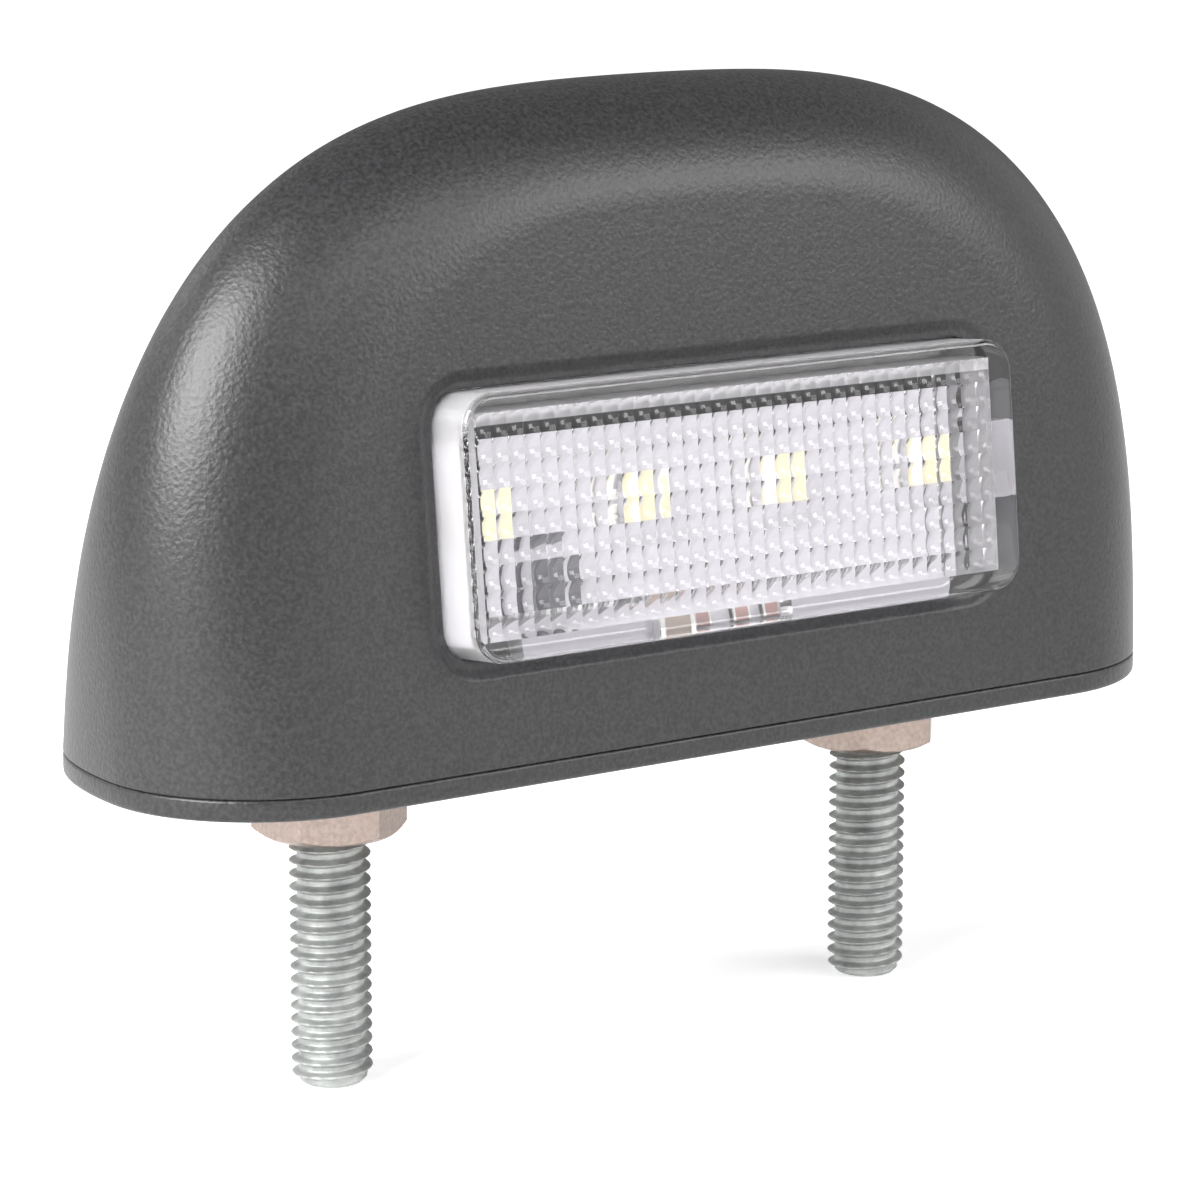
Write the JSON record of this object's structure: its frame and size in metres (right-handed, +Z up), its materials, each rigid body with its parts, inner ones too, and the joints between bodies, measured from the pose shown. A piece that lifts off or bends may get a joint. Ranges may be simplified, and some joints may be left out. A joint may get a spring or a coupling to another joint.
{
  "type": "number plate lamp",
  "caption": "Arched black plastic number plate lamp with a clear prismatic lens in its leaning face, diodes behind it and threaded studs with nuts under its flat base.",
  "frame": {"origin": "middle of the base's seat plane, halfway between the two fixing studs", "axes": "+X along the lamp's width, from the left stud to the right one as seen from the front; -Y out of the lens; +Z up, away from the mounting surface, so the studs point to -Z"},
  "size_m": [0.0908, 0.0281, 0.0728],
  "materials": {
    "housing_plastic": "fine spark-eroded grain, matt",
    "base_plastic": "fine spark-eroded grain, matt",
    "clear_lens": "clear polished polycarbonate",
    "white_board": "white solder mask",
    "led_package": "yellow phosphor in a white package",
    "black_component": "moulded epoxy",
    "brown_component": "unglazed ceramic",
    "resistor_body": "lacquered ceramic",
    "screw_steel": "zinc-plated",
    "grommet_rubber": "matt",
    "stud_steel": "zinc-plated, rolled thread",
    "nut_steel": "warm zinc-nickel plating"
  },
  "bodies": {
    "root": {"housing": "housing_plastic", "lens": "clear_lens", "circuit_board": "white_board", "led_1": "led_package", "led_2": "led_package", "led_3": "led_package", "led_4": "led_package", "rectifier_diode": "black_component", "capacitor": "brown_component", "resistor_1": "resistor_body", "resistor_2": "resistor_body", "resistor_3": "resistor_body", "regulator": "black_component", "board_screw_left": "screw_steel", "board_screw_right": "screw_steel", "base_plate": "base_plastic", "cable_grommet": "grommet_rubber", "stud_left": "stud_steel", "stud_right": "stud_steel", "nut_left": "nut_steel", "nut_right": "nut_steel"}
  },
  "joints": []
}
